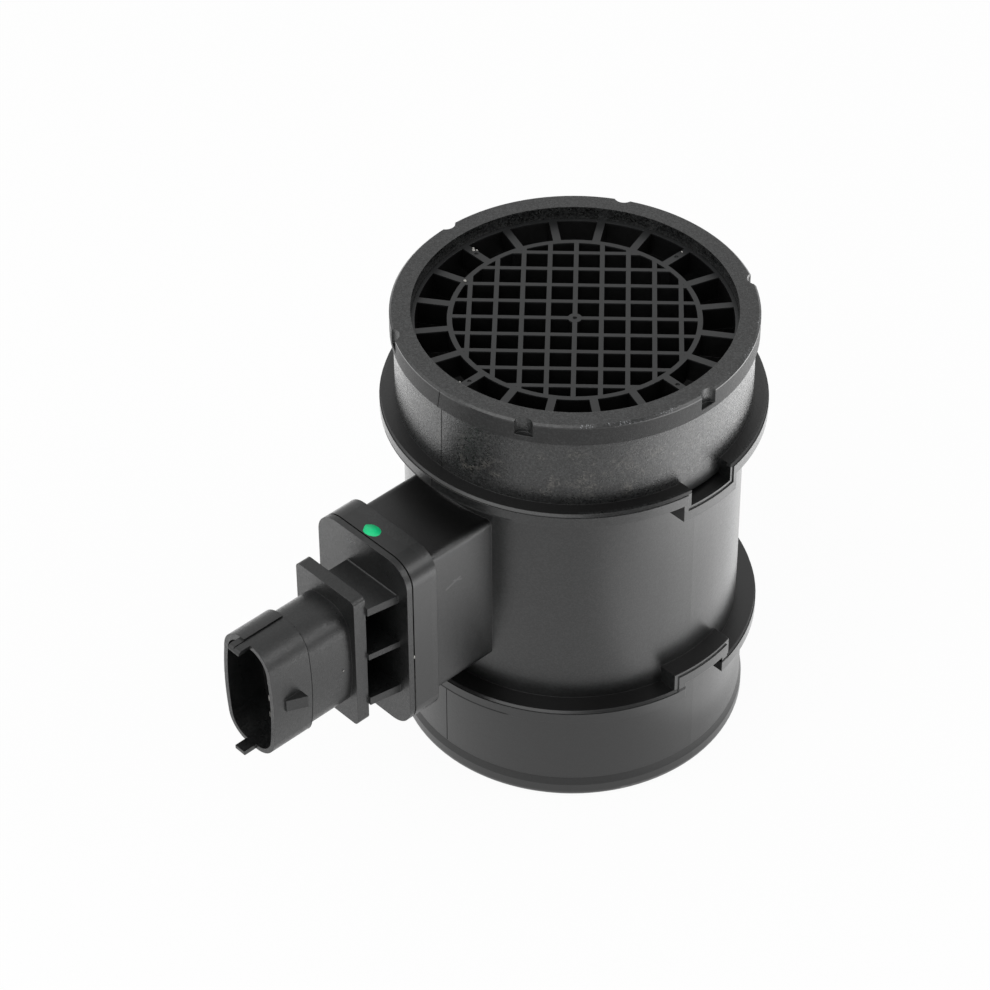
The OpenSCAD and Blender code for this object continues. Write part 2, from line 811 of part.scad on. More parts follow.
module thermistor_bead() {
    color("#3b2f2a") difference() {
        translate([bead_x, -bead_y, bead_z]) rotate([0, 90, 0])
            cylinder(r = bead_r + lead_gap / 2, h = bead_r, center = true, $fn = mid);
        for (s = [-1, 1]) translate([bead_x, -bead_y - 2 * bead_r, bead_z + s * lead_gap])
            rotate([-90, 0, 0]) cylinder(d = lead_d, h = 2 * bead_r, $fn = fine);
    }
}

// A dab of green paint on the top edge of the pocket's flange
module paint_dot() {
    color("#14cd7d") translate([dab_x, -pocket_reach + dab_back, sensor_z + plate_h / 2])
        linear_extrude(dab_t) rounded_rect(dab_w, dab_l, dab_round);
}

tube_housing();
inlet_grille();
sensor_carrier();
seal_ring();
base_plate();
circuit_board();
signal_chip();
board_capacitors();
board_resistors();
chip_holder();
sensor_chip();
electronics_cover();
channel_cover();
thermistor_leads();
thermistor_bead();
paint_dot();
for (i = [1 : pin_n])
    terminal_pin(i);
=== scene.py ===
import math

import bmesh
import bpy
from mathutils import Matrix, Vector, noise
from mathutils.bvhtree import BVHTree


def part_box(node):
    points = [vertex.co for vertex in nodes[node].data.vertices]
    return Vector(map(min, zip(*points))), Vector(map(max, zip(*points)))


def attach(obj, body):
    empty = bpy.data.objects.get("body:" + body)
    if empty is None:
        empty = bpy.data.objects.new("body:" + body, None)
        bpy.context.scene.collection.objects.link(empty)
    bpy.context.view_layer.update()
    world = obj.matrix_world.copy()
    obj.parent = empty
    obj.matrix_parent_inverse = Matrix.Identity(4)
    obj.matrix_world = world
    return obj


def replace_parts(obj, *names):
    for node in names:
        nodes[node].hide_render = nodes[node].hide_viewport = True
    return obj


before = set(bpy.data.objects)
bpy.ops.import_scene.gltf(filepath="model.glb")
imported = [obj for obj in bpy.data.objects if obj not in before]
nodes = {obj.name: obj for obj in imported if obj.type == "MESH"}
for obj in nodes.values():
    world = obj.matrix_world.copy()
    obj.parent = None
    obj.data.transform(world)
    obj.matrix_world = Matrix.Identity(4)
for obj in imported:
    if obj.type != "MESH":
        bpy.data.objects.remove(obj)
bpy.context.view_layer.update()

# The duct is one injection moulding in black glass-filled nylon, with its two hose collars, two
# flanges and the pocket for the module. The mould is spark-eroded, so the skin is matt and finely
# pitted. Glass lies near the skin of the inlet end, which looks paler and shows clouds of it.
MM = 0.001
# The pits and the ends of the glass are about 0.1 mm wide, and are drawn coarser so that they show
PIT = 0.34 * MM
# Slow waves in the skin come from the cooling of the thick wall
WAVE = 1.3 * MM
CLOUD = 5 * MM
# The scuffs on the rim are specks of the first size, in stretches of the second
SCUFF, SCUFFED_STRETCH = 0.28 * MM, 6 * MM
# Zones of the skin, each from, to and the run-out past both, in mm. The last letter says what they
# limit: the height Z, the radius R from the duct's axis, or the place along X or Y.
OUTSIDE_R = (36.4, 60, 0.2)
CLOUDED_Z = (96, 106, 3)
RIM_SIDE_Z, RIM_SIDE_R = (109.9, 114.7, 0.1), (41.3, 43, 0.1)
RIM_CHAMFER_Z, RIM_CHAMFER_R = (114.5, 115.2, 0.1), (41.2, 43, 0.1)
NOTCH_LEDGE_Z, NOTCH_LEDGE_R = (110.9, 111.7, 0.1), (40.2, 43, 0.1)
SCUFFED_Z, SCUFFED_R, SCUFFED_X = (114.5, 116, 0.1), (41.3, 42, 0.15), (31, 40, 1)
INLET_BAND_Z, OUTLET_BAND_Z, BAND_R = (91.1, 91.95, 0.05), (29.9, 30.75, 0.05), (43.2, 45, 0.1)
INLET_FOOT_Z, OUTLET_FOOT_Z = (87, 88.7, 0.1), (26, 27.5, 0.1)
FLANGE_EDGE_R = (43.3, 46, 0.2)
TORN_R, TORN_Y = (43, 45, 0.1), (-46, -40, 1)
POCKET_TOP_Y = (-63.7, -30, 0.1)
POCKET_EDGE_X, POCKET_EDGE_Y, POCKET_EDGE_Z = (-12.5, 12.5, 0.3), (-54, -40, 1.5), (38, 84, 0.3)
POCKET_SIDE_X = (11.6, 12.6, 0.1)
# Two short strokes on the pocket's side: start and end, each (y, z), and half the width, in mm
STROKES = (((-51.3, 69.3), (-47.2, 70.6), 0.25), ((-49.0, 70.6), (-46.9, 69.8), 0.2))
# The radii that the shader rounds the edges to
FINE_EDGE, FLANGE_EDGE, TORN_EDGE = 0.12 * MM, 0.2 * MM, 0.03 * MM
NOTCH_EDGE, POCKET_EDGE = 0.35 * MM, 1.8 * MM
# The bands along the flanges' tops lean back, with this much added upwards to their normal
BAND_LEAN = 0.85


def linear(colour):
    """An sRGB hex colour as linear red, green, blue and alpha"""
    parts = [int(colour[i:i + 2], 16) / 255 for i in (1, 3, 5)]
    return [c / 12.92 if c <= 0.04045 else ((c + 0.055) / 1.055) ** 2.4 for c in parts] + [1]


def blank(name):
    """A new material with nothing in its node tree"""
    made = bpy.data.materials.new(name)
    made.use_nodes = True
    made.node_tree.nodes.clear()
    return made, made.node_tree


def add(tree, kind, inputs=None, **settings):
    """A node with its settings. Each input is a value, a socket, or a node whose result feeds it"""
    made = tree.nodes.new("ShaderNode" + kind)
    for name, value in settings.items():
        setattr(made, name, value)
    for key, value in (inputs or {}).items():
        if isinstance(value, bpy.types.Node):
            value = next(result for result in value.outputs if result.enabled)
        if isinstance(value, bpy.types.NodeSocket):
            tree.links.new(value, made.inputs[key])
        else:
            made.inputs[key].default_value = value
    return made


def times(tree, *factors):
    """The product of several masks"""
    product = factors[0]
    for factor in factors[1:]:
        product = add(tree, "Math", {0: product, 1: factor}, operation="MULTIPLY")
    return product


def band(tree, value, low, high, soft):
    """1 where a length lies between low and high, running out to 0 over soft on both sides, in mm"""
    rise = add(tree, "MapRange", {0: value, 1: (low - soft) * MM, 2: low * MM},
               interpolation_type="SMOOTHSTEP")
    fall = add(tree, "MapRange", {0: value, 1: high * MM, 2: (high + soft) * MM, 3: 1, 4: 0},
               interpolation_type="SMOOTHSTEP")
    return times(tree, rise, fall)


def stroke(tree, x, y, z, start, end, half):
    """1 on a line of half width half across the pocket's +X side, its ends each (y, z), in mm"""
    line = Vector(end) - Vector(start)
    along = line.normalized()
    flat = add(tree, "CombineXYZ", {0: y, 1: z})
    from_start = add(tree, "VectorMath", {0: flat, 1: (start[0] * MM, start[1] * MM, 0)},
                     operation="SUBTRACT")
    run = add(tree, "VectorMath", {0: from_start, 1: (along.x, along.y, 0)}, operation="DOT_PRODUCT")
    off = add(tree, "VectorMath", {0: from_start, 1: (-along.y, along.x, 0)}, operation="DOT_PRODUCT")
    return times(tree, band(tree, run, 0, line.length, 0.5), band(tree, off, 0, 0, 2 * half),
                 band(tree, x, *POCKET_SIDE_X))


def moulded_duct():
    """Glass-filled nylon off a spark-eroded mould: black and matt, with the IOR of nylon"""
    made, tree = blank("glass_filled_nylon_spark_eroded")
    place = add(tree, "TexCoord").outputs["Object"]
    x, y, z = add(tree, "SeparateXYZ", {0: place}).outputs
    radius = add(tree, "VectorMath", {0: add(tree, "CombineXYZ", {0: x, 1: y})}, operation="LENGTH")
    outside = band(tree, radius, *OUTSIDE_R)
    up = add(tree, "SeparateXYZ", {0: add(tree, "NewGeometry").outputs["Normal"]}).outputs[2]

    # Pits, and ends of glass that each have a tone and a gloss of their own
    pits = add(tree, "TexNoise", {"Vector": place, "Scale": 1 / PIT, "Detail": 3, "Roughness": 0.6})
    glass = add(tree, "TexVoronoi", {"Vector": place, "Scale": 1 / PIT}).outputs["Color"]
    tone, gloss, _ = add(tree, "SeparateXYZ", {0: glass}).outputs
    flecks = add(tree, "MapRange", {0: tone, 1: 0.25, 2: 1})
    waves = add(tree, "TexNoise", {"Vector": place, "Scale": 1 / WAVE, "Detail": 2, "Roughness": 0.5})
    # The inlet end shows the most glass, the tube between the flanges less, and the outlet end least
    inlet_end = add(tree, "MapRange", {0: z, 1: 88 * MM, 2: 97 * MM, 3: 0.35, 4: 1},
                    interpolation_type="SMOOTHSTEP")
    above_outlet = add(tree, "MapRange", {0: z, 1: 28 * MM, 2: 34 * MM, 3: 0.3, 4: 1},
                       interpolation_type="SMOOTHSTEP")
    glassy = times(tree, inlet_end, above_outlet, outside)
    # The pits are a quarter as deep where there is little glass
    depth = add(tree, "MapRange", {0: glassy, 1: 0.3, 2: 0.9, 3: 0.25, 4: 1})
    # Clouds of glass with a ragged fine edge, on the inlet collar alone
    clouds = add(tree, "TexNoise", {"Vector": place, "Scale": 1 / CLOUD, "Detail": 8, "Roughness": 0.75})
    cloud = add(tree, "MapRange", {0: clouds, 1: 0.5, 2: 0.62}, interpolation_type="SMOOTHSTEP")
    clouded = times(tree, cloud, band(tree, z, *CLOUDED_Z), outside)

    # The side of the rim is matter than the collar under it, and dark between the flecks
    rim_side = times(tree, band(tree, z, *RIM_SIDE_Z), band(tree, radius, *RIM_SIDE_R))
    between_flecks = add(tree, "MapRange", {0: flecks, 3: 1, 4: 0.5})
    # The corner along the top of the rim is scuffed here and there
    scuffs = add(tree, "TexNoise", {"Vector": place, "Scale": 1 / SCUFF, "Detail": 2})
    stretches = add(tree, "TexNoise", {"Vector": place, "Scale": 1 / SCUFFED_STRETCH, "Detail": 1})
    scuffed = times(tree, add(tree, "MapRange", {0: scuffs, 1: 0.6, 2: 0.66}),
                    add(tree, "MapRange", {0: stretches, 1: 0.42, 2: 0.5}),
                    band(tree, z, *SCUFFED_Z), band(tree, x, *SCUFFED_X), band(tree, radius, *SCUFFED_R))
    # The rim's top edge and the bands along the flanges' tops are chamfered, and the chamfers are
    # smooth
    rim_chamfer = times(tree, band(tree, z, *RIM_CHAMFER_Z), band(tree, radius, *RIM_CHAMFER_R))
    band_tops = add(tree, "Math", {0: band(tree, z, *INLET_BAND_Z), 1: band(tree, z, *OUTLET_BAND_Z)},
                    operation="MAXIMUM")
    flange_band = times(tree, band_tops, band(tree, radius, *BAND_R))
    chamfer = add(tree, "Math", {0: rim_chamfer, 1: flange_band}, operation="MAXIMUM")
    # The tops of the flanges within their bands, and the pocket's top behind its flange, are rougher,
    # and are painted darker as painted shade under the collar and the flange.
    facing_up = add(tree, "MapRange", {0: up, 1: 0.8, 2: 0.97})
    below_rim = add(tree, "MapRange", {0: z, 1: 100 * MM, 2: 101 * MM, 3: 1, 4: 0})
    behind_flange = add(tree, "MapRange", {0: y, 1: -57 * MM, 2: -56 * MM})
    within_band = add(tree, "MapRange", {0: radius, 1: 43.5 * MM, 2: 43.6 * MM, 3: 1, 4: 0})
    dull_shade_place = add(tree, "Math", {0: within_band, 1: band(tree, y, *POCKET_TOP_Y)}, operation="MAXIMUM")
    dull_and_painted_shade = times(tree, facing_up, below_rim, behind_flange, dull_shade_place)
    # Something rubbed two short pale strokes on the pocket's side
    long_stroke, short_stroke = (stroke(tree, x, y, z, *line) for line in STROKES)
    rubbed = add(tree, "Math", {0: long_stroke, 1: short_stroke}, operation="MAXIMUM")
    # The lower corners of both flanges are sharp, and are torn and dull where they pass the pocket
    flange_feet = add(tree, "Math", {0: band(tree, z, *INLET_FOOT_Z), 1: band(tree, z, *OUTLET_FOOT_Z)},
                      operation="MAXIMUM")
    torn = times(tree, flange_feet, band(tree, radius, *TORN_R), band(tree, y, *TORN_Y))

    # Each colour lies over those before it
    colour = linear("#080909")
    # The last colour here, on the flange and pocket tops, is painted shade
    for mask, tint in ((times(tree, flecks, glassy), "#303131"), (times(tree, clouded, flecks), "#4d4b47"),
                       (scuffed, "#9a9c9f"), (times(tree, rubbed, 0.6), "#5a5b5c"),
                       (times(tree, rim_side, between_flecks), "#030303"), (dull_and_painted_shade, "#050505")):
        colour = add(tree, "Mix", {0: mask, 6: colour, 7: linear(tint)}, data_type="RGBA")

    # The shader rounds the edges: a hair everywhere, and more along the drafted edges of the pocket
    flange_edges = times(tree, band(tree, radius, *FLANGE_EDGE_R), outside)
    flange_r = add(tree, "MapRange", {0: flange_feet, 3: FLANGE_EDGE, 4: TORN_EDGE})
    notch_ledges = times(tree, band(tree, z, *NOTCH_LEDGE_Z), band(tree, radius, *NOTCH_LEDGE_R))
    pocket_edges = times(tree, band(tree, y, *POCKET_EDGE_Y), band(tree, x, *POCKET_EDGE_X),
                         band(tree, z, *POCKET_EDGE_Z))
    edge_r = FINE_EDGE
    for mask, there in ((flange_edges, flange_r), (notch_ledges, NOTCH_EDGE), (pocket_edges, POCKET_EDGE)):
        edge_r = add(tree, "Mix", {0: mask, 2: edge_r, 3: there})
    rounded = add(tree, "Bevel", {"Radius": edge_r}, samples=6)
    rounded_up = add(tree, "SeparateXYZ", {0: rounded}).outputs[2]
    notch_lip = times(tree, notch_ledges, add(tree, "MapRange", {0: rounded_up, 1: 0.15, 2: 0.4}))

    # Each roughness lies over those before it
    rough = 0.34
    for mask, there in ((depth, add(tree, "MapRange", {0: gloss, 3: 0.2, 4: 0.46})), (dull_and_painted_shade, 0.4),
                        (rim_side, 0.8), (chamfer, 0.3), (torn, 1.0), (notch_lip, 0.3)):
        rough = add(tree, "Mix", {0: mask, 2: rough, 3: there})

    tilted = add(tree, "VectorMath", {0: rounded, 1: (0, 0, BAND_LEAN)}, operation="ADD")
    tilted = add(tree, "VectorMath", {0: tilted}, operation="NORMALIZE")
    leaning = add(tree, "Mix", {0: flange_band, 4: rounded, 5: tilted}, data_type="VECTOR")
    wavy = add(tree, "Bump", {"Strength": 0.25, "Distance": 0.05 * MM, "Height": waves, "Normal": leaning})
    unchamfered = add(tree, "Math", {0: 1.0, 1: chamfer}, operation="SUBTRACT")
    pitted = add(tree, "Bump", {"Strength": times(tree, depth, unchamfered), "Distance": 0.07 * MM,
                                "Height": pits, "Normal": wavy})
    shader = add(tree, "BsdfPrincipled", {"Base Color": colour, "Roughness": rough, "Normal": pitted,
                                          "IOR": 1.53, "Coat Weight": 0.3, "Coat Roughness": 0.3,
                                          "Coat Normal": pitted})
    add(tree, "OutputMaterial", {0: shader})
    return made


def dress(node, material):
    """Gives a CAD node its finish"""
    slots = nodes[node].data.materials
    slots.clear()
    slots.append(material)


dress("tube_housing", moulded_duct())

# The duct's mould parts along the line of the module. It leaves a hair of flash, dull and dark,
# down the rim, the collars and the edges of the flanges, and on the far side down the tube too.
FLASH_R = 0.09 * MM
FLASH_SUNK = 0.03 * MM
HAIR_SIDES = 8
# Each run: how far out its wall is, its top and foot with their places along X, all in mm
FRONT_RUNS = ((41.9, 114.7, 0.55, 109.9, -0.25), (41.05, 109.8, 0.1, 92.1, -0.25),
              (44.65, 90.9, 0.45, 88.4, 0.4), (44.1, 29.7, 0.3, 27.2, 0.3), (41.05, 27.0, 0.1, 6.1, 0.0))
BACK_RUNS = ((41.9, 114.7, 0.0, 109.9, 0.0), (41.05, 109.8, 0.0, 92.1, 0.0), (44.65, 90.9, 0.0, 88.4, 0.0),
             (39.3, 88.2, 0.0, 30.9, 0.0), (44.1, 29.7, 0.0, 27.2, 0.0), (41.05, 27.0, 0.0, 6.1, 0.0))


def hair(mesh, start, end, radius):
    """A thin round bar from one point to another, its ends closed"""
    along = Vector(end) - Vector(start)
    ring = bmesh.ops.create_circle(mesh, cap_ends=True, segments=HAIR_SIDES, radius=radius)["verts"]
    grown = bmesh.ops.extrude_face_region(mesh, geom=list(ring[0].link_faces))["geom"]
    far = [v for v in grown if isinstance(v, bmesh.types.BMVert)]
    bmesh.ops.translate(mesh, verts=far, vec=(0, 0, along.length))
    turn = Vector((0, 0, 1)).rotation_difference(along).to_matrix().to_4x4()
    bmesh.ops.transform(mesh, matrix=Matrix.Translation(Vector(start)) @ turn, verts=ring + far)


def piece(name, mesh, material):
    """A finished piece that goes with the one body and takes its finish from a slot"""
    bmesh.ops.remove_doubles(mesh, verts=mesh.verts, dist=0.001 * MM)
    bmesh.ops.recalc_face_normals(mesh, faces=mesh.faces)
    data = bpy.data.meshes.new(name)
    mesh.to_mesh(data)
    mesh.free()
    data.materials.append(material)
    made = bpy.data.objects.new(name, data)
    bpy.context.scene.collection.objects.link(made)
    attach(made, "root")
    return made


def worked(name, dark, light, patch, rough, depth, stretch=(1, 1, 1), **shader):
    """A surface mottled between two colours in patches of a size, with rough as its two ends, and a
    bump as deep as depth"""
    made, tree = blank(name)
    place = add(tree, "TexCoord").outputs["Object"]
    drawn = add(tree, "Mapping", {"Vector": place, "Scale": stretch})
    mottle = add(tree, "TexNoise", {"Vector": drawn, "Scale": 1 / patch, "Detail": 4, "Roughness": 0.6})
    colour = add(tree, "Mix", {0: mottle, 6: linear(dark), 7: linear(light)}, data_type="RGBA")
    varied = add(tree, "MapRange", {0: mottle, 3: rough[0], 4: rough[1]})
    relief = add(tree, "Bump", {"Strength": 0.5, "Distance": depth, "Height": mottle})
    inputs = {"Base Color": colour, "Roughness": varied, "Normal": relief}
    inputs.update({key.replace("_", " "): value for key, value in shader.items()})
    add(tree, "OutputMaterial", {0: add(tree, "BsdfPrincipled", inputs)})
    return made


# Torn nylon at the parting line: dull, and darker than the skin, in specks of 0.3 mm
flash_skin = worked("nylon_flash_torn", "#060606", "#141414", 0.3 * MM, (0.7, 0.9), 0.02 * MM, IOR=1.3)
for side, name, runs in ((-1, "parting_line_front", FRONT_RUNS), (1, "parting_line_back", BACK_RUNS)):
    bm = bmesh.new()
    for wall, top, top_x, foot, foot_x in runs:
        out = side * (wall * MM - FLASH_SUNK)
        hair(bm, (foot_x * MM, out, foot * MM), (top_x * MM, out, top * MM), FLASH_R)
    piece(name, bm, flash_skin)

# The guard grille is moulded apart in the same nylon, from a smoother mould, and is staked on a
# ledge inside the inlet. It breaks up eddies and keeps fingers and leaves off the blade.
GRILLE_FLOW, GRILLE_PIT = 2.5 * MM, 0.4 * MM
GRILLE_TOP_Z = (111.8, 113, 0.3)
GRILLE_EDGE = 0.1 * MM


def moulded_grille():
    """Glass-filled nylon off a smooth mould: a little paler and shinier than the duct"""
    made, tree = blank("glass_filled_nylon_smooth_mould")
    place = add(tree, "TexCoord").outputs["Object"]
    z = add(tree, "SeparateXYZ", {0: place}).outputs[2]
    # Flow marks along the bars, and fine pits
    flow = add(tree, "TexNoise", {"Vector": place, "Scale": 1 / GRILLE_FLOW, "Detail": 5, "Roughness": 0.6})
    pits = add(tree, "TexNoise", {"Vector": place, "Scale": 1 / GRILLE_PIT, "Detail": 2})
    # Only the tops have the paler skin; the bars' sides are painted black, as painted shade in the cells
    top = add(tree, "Mix", {0: flow, 6: linear("#161717"), 7: linear("#242526")}, data_type="RGBA")
    colour = add(tree, "Mix", {0: band(tree, z, *GRILLE_TOP_Z), 6: linear("#060606"), 7: top},
                 data_type="RGBA")
    rough = add(tree, "MapRange", {0: flow, 3: 0.3, 4: 0.42})
    rounded = add(tree, "Bevel", {"Radius": GRILLE_EDGE}, samples=4)
    pitted = add(tree, "Bump", {"Strength": 0.4, "Distance": 0.03 * MM, "Height": pits, "Normal": rounded})
    shader = add(tree, "BsdfPrincipled", {"Base Color": colour, "Roughness": rough, "Normal": pitted,
                                          "IOR": 1.53})
    add(tree, "OutputMaterial", {0: shader})
    return made


dress("inlet_grille", moulded_grille())

# Crumbs of pale dust and torn flash cling to the grille's bars at a few spots. Each is a small
# ragged lump that lies on a bar.

# Each crumb: its place and its size, in mm
CRUMBS = ((-33.9, 0.4, 112.1, 0.42), (-34.5, 0.9, 112.05, 0.3), (-33.4, 1.0, 112.05, 0.25),
          (-26.9, -8.8, 112.1, 0.42), (-0.4, 34.8, 112.05, 0.24), (-1.2, -34.3, 112.05, 0.24))
CRUMB_RAGGED, CRUMB_WIDE, CRUMB_HIGH = 0.45, 0.8, 0.55
# Dust and torn flash, pale and dull, in specks of 0.3 mm
dust = worked("dust_and_torn_flash", "#8f8e8a", "#c4c2bd", 0.3 * MM, (0.7, 0.95), 0.05 * MM, IOR=1.45)
bm = bmesh.new()
for cx, cy, cz, size in CRUMBS:
    lump = bmesh.ops.create_icosphere(bm, subdivisions=2, radius=size * MM)["verts"]
    for v in lump:
        swell = 1 + CRUMB_RAGGED * noise.noise(Vector((cx, cy, cz)) + v.co / (0.5 * size * MM))
        v.co = Vector((v.co.x * swell, v.co.y * swell * CRUMB_WIDE, v.co.z * swell * CRUMB_HIGH))
    bmesh.ops.translate(bm, verts=lump, vec=Vector((cx, cy, cz)) * MM)
piece("grille_crumbs", bm, dust)

# The sensor module is moulded in black glass-filled polyester, which keeps its size in heat. Its
# mould is polished, so plate, neck and connector have a satin sheen. It is glued into the pocket.
MODULE_FLOW = 5 * MM
MODULE_PIT, MODULE_FLECK = 0.36 * MM, 0.34 * MM
MODULE_EDGE = 0.15 * MM


def moulded_module():
    """Glass-filled polyester off a polished mould: satin, with faint flow marks"""
    made, tree = blank("glass_filled_polyester_satin")
    place = add(tree, "TexCoord").outputs["Object"]
    flow = add(tree, "TexNoise", {"Vector": place, "Scale": 1 / MODULE_FLOW, "Detail": 5, "Roughness": 0.6})
    pits = add(tree, "TexNoise", {"Vector": place, "Scale": 1 / MODULE_PIT, "Detail": 5, "Roughness": 0.7})
    glass = add(tree, "TexVoronoi", {"Vector": place, "Scale": 1 / MODULE_FLECK}).outputs["Color"]
    tone, gloss, _ = add(tree, "SeparateXYZ", {0: glass}).outputs
    flecks = add(tree, "MapRange", {0: tone, 1: 0.3, 2: 1})
    skin = add(tree, "Mix", {0: flow, 6: linear("#080909"), 7: linear("#121313")}, data_type="RGBA")
    colour = add(tree, "Mix", {0: times(tree, flecks, flow), 6: skin, 7: linear("#222323")},
                 data_type="RGBA")
    patchy = add(tree, "MapRange", {0: flow, 3: -0.05, 4: 0.05})
    speckled = add(tree, "MapRange", {0: gloss, 3: 0.28, 4: 0.46})
    rough = add(tree, "Math", {0: patchy, 1: speckled}, operation="ADD")
    rounded = add(tree, "Bevel", {"Radius": MODULE_EDGE}, samples=4)
    pitted = add(tree, "Bump", {"Strength": 0.6, "Distance": 0.08 * MM, "Height": pits, "Normal": rounded})
    shader = add(tree, "BsdfPrincipled", {"Base Color": colour, "Roughness": rough, "Normal": pitted,
                                          "IOR": 1.57, "Coat Weight": 0.15, "Coat Roughness": 0.32,
                                          "Coat Normal": pitted})
    add(tree, "OutputMaterial", {0: shader})
    return made


module_skin = moulded_module()
for node in ("sensor_carrier", "electronics_cover", "channel_cover"):
    dress(node, module_skin)

# The connector's mouth and root come from two slides of the mould, which leave a hairline down its
# +X side where they meet. It is torn and dark, as the duct's flash is.
ROOT_END, HAIRLINE_PAST = -88.4, 0.06
HAIRLINE_TOP, HAIRLINE_STEP, HAIRLINE_POINTS = 76.0, 1.0, 33
HAIRLINE_R = 0.07 * MM
# The points are looked for from beside the connector inwards, and not as far in as its middle
BESIDE_X, MIDDLE_X = 40, 2


def skin_at(solid, y, z):
    """The point of a solid's +X side at a place, in mm, or nothing where there is none"""
    hit = solid.ray_cast(Vector((BESIDE_X, y, z)) * MM, Vector((-1, 0, 0)))[0]
    return hit if hit and hit.x > MIDDLE_X * MM else None


carrier = nodes["sensor_carrier"].data
carrier_solid = BVHTree.FromPolygons([v.co for v in carrier.vertices], [f.vertices for f in carrier.polygons])
bm = bmesh.new()
above = None
for i in range(HAIRLINE_POINTS):
    spot = skin_at(carrier_solid, ROOT_END - HAIRLINE_PAST, HAIRLINE_TOP - i * HAIRLINE_STEP)
    if spot and above:
        hair(bm, above, spot, HAIRLINE_R)
    above = spot
piece("connector_hairline", bm, flash_skin)

# A thin dull black bar round the seam between the module's plate and the pocket's flange is painted
# shade for the dark gap. It stands out unevenly, most of all low on the right, and a pale fleck lies on it.
SEAM_Y = -63.78
SEAM_HALF_W, SEAM_LOW, SEAM_HIGH, SEAM_ROUND = 14.8, 36.5, 85.1, 6.0
SEAM_SHADE_R = 0.2 * MM
SEAM_SHADE_STEP = 0.9
# How far in from the plate's outline the shade bar lies, and how far it wanders in and out and along Y
SEAM_SHADE_SUNK, SEAM_SHADE_WANDER, SEAM_SHADE_SWAY = 0.42, 0.12, 0.22
# Spread out in full, the bar of painted shade lies this much further out. That is on the right below
# a height, and elsewhere it is spread out by a share.
SHADE_SPREAD_OUT, SHADE_SPREAD_BELOW, SHADE_SPREAD_ELSEWHERE = 0.3, 53, 0.2


def seam_path():
    """Points along the plate's outline, a step apart, each with the way out of it, in mm"""
    half_w, half_h = SEAM_HALF_W - SEAM_ROUND, (SEAM_HIGH - SEAM_LOW) / 2 - SEAM_ROUND
    mid_z = (SEAM_HIGH + SEAM_LOW) / 2
    found = []
    for corner, (right, top) in enumerate(((1, 1), (-1, 1), (-1, -1), (1, -1))):
        centre = Vector((right * half_w, mid_z + top * half_h))
        steps = round(SEAM_ROUND * math.pi / 2 / SEAM_SHADE_STEP)
        for i in range(steps + 1):
            angle = math.radians(90 * corner + 90 * i / steps)
            out = Vector((math.cos(angle), math.sin(angle)))
            found.append((centre + out * SEAM_ROUND, out))
        straight = 2 * half_w if corner % 2 == 0 else 2 * half_h
        count = round(straight / SEAM_SHADE_STEP)
        start, out = found[-1]
        way = Vector((-out.y, out.x))
        found += [(start + way * (straight * i / count), out) for i in range(1, count)]
    return found


bm = bmesh.new()
points = []
for spot, out in seam_path():
    spread = 1.0 if out.x > 0.9 and spot.y < SHADE_SPREAD_BELOW else SHADE_SPREAD_ELSEWHERE
    sway = SEAM_SHADE_SWAY * spread * noise.noise(Vector((spot.x, spot.y, 1.3)) * 0.7)
    wander = SEAM_SHADE_WANDER * noise.noise(Vector((spot.x, spot.y, 5.1)) * 0.5)
    spot = spot - out * (SEAM_SHADE_SUNK - SHADE_SPREAD_OUT * spread - wander)
    points.append(Vector((spot.x, SEAM_Y + sway, spot.y)) * MM)
for start, end in zip(points, points[1:] + points[:1]):
    hair(bm, start, end, SEAM_SHADE_R)
# Painted shade for the seam: nearly black and dull, mottled in patches of 1 mm
seam_shade = worked("seam_painted_shade", "#040404", "#0b0b0b", 1 * MM, (0.55, 0.75), 0.02 * MM, IOR=1.41)
piece("seam_painted_shade_bar", bm, seam_shade)

# A fleck of dust lies in the seam, and a nick in the connector's side holds another. They
# are the same pale dust as on the grille.
FLECK_R, FLECK_PLACE = 0.3 * MM, Vector((14.8, -63.78, 58.5)) * MM
NICK_R, NICK_PLACE = 0.22 * MM, Vector((8.42, -79.3, 60.0)) * MM

bm = bmesh.new()
fleck = bmesh.ops.create_icosphere(bm, subdivisions=2, radius=FLECK_R)["verts"]
for v in fleck:
    v.co = Vector((v.co.x * 0.5, v.co.y * 0.7, v.co.z * (1.5 + noise.noise(v.co / (0.2 * MM)))))
bmesh.ops.translate(bm, verts=fleck, vec=FLECK_PLACE)
nick = bmesh.ops.create_icosphere(bm, subdivisions=2, radius=NICK_R)["verts"]
for v in nick:
    v.co = Vector((v.co.x * 0.35, v.co.y * 1.3, v.co.z * 0.7))
bmesh.ops.translate(bm, verts=nick, vec=NICK_PLACE)
piece("module_crumbs", bm, dust)

# The seal is a cord ring of black silicone rubber in a groove round the module's block, squeezed
# in the pocket. It keeps unmetered air and splashes out.

# Silicone rubber off a fine matt mould, dulled by grease, in patches of 1 mm
dress("seal_ring", worked("silicone_rubber_moulded", "#0d0d0d", "#191919", 1 * MM, (0.5, 0.65), 0.02 * MM,
                          IOR=1.41))

# Inside the module a ceramic board carries the circuit. It is glued on an aluminium base plate,
# and its parts are soldered to printed tracks. A steel holder reaches into the air with the chip.

# Rolled aluminium, its rolling lines drawn 0.3 mm apart and ten times as long along the plate
dress("base_plate", worked("aluminium_rolled", "#c4c6c9", "#dcdde0", 0.3 * MM, (0.28, 0.42), 0.01 * MM,
                           stretch=(1, 0.1, 1), Metallic=1.0))
# Fired alumina with a warm white body, glazed, in patches of 2 mm
dress("circuit_board", worked("alumina_fired_glazed", "#dcd9cf", "#eeece5", 2 * MM, (0.25, 0.4),
                              0.01 * MM, IOR=1.77))
# Epoxy filled with silica, moulded over the silicon, finely matt in specks of 0.2 mm
dress("signal_chip", worked("epoxy_moulded_over_chip", "#121214", "#232326", 0.2 * MM, (0.4, 0.55),
                            0.015 * MM, IOR=1.55))
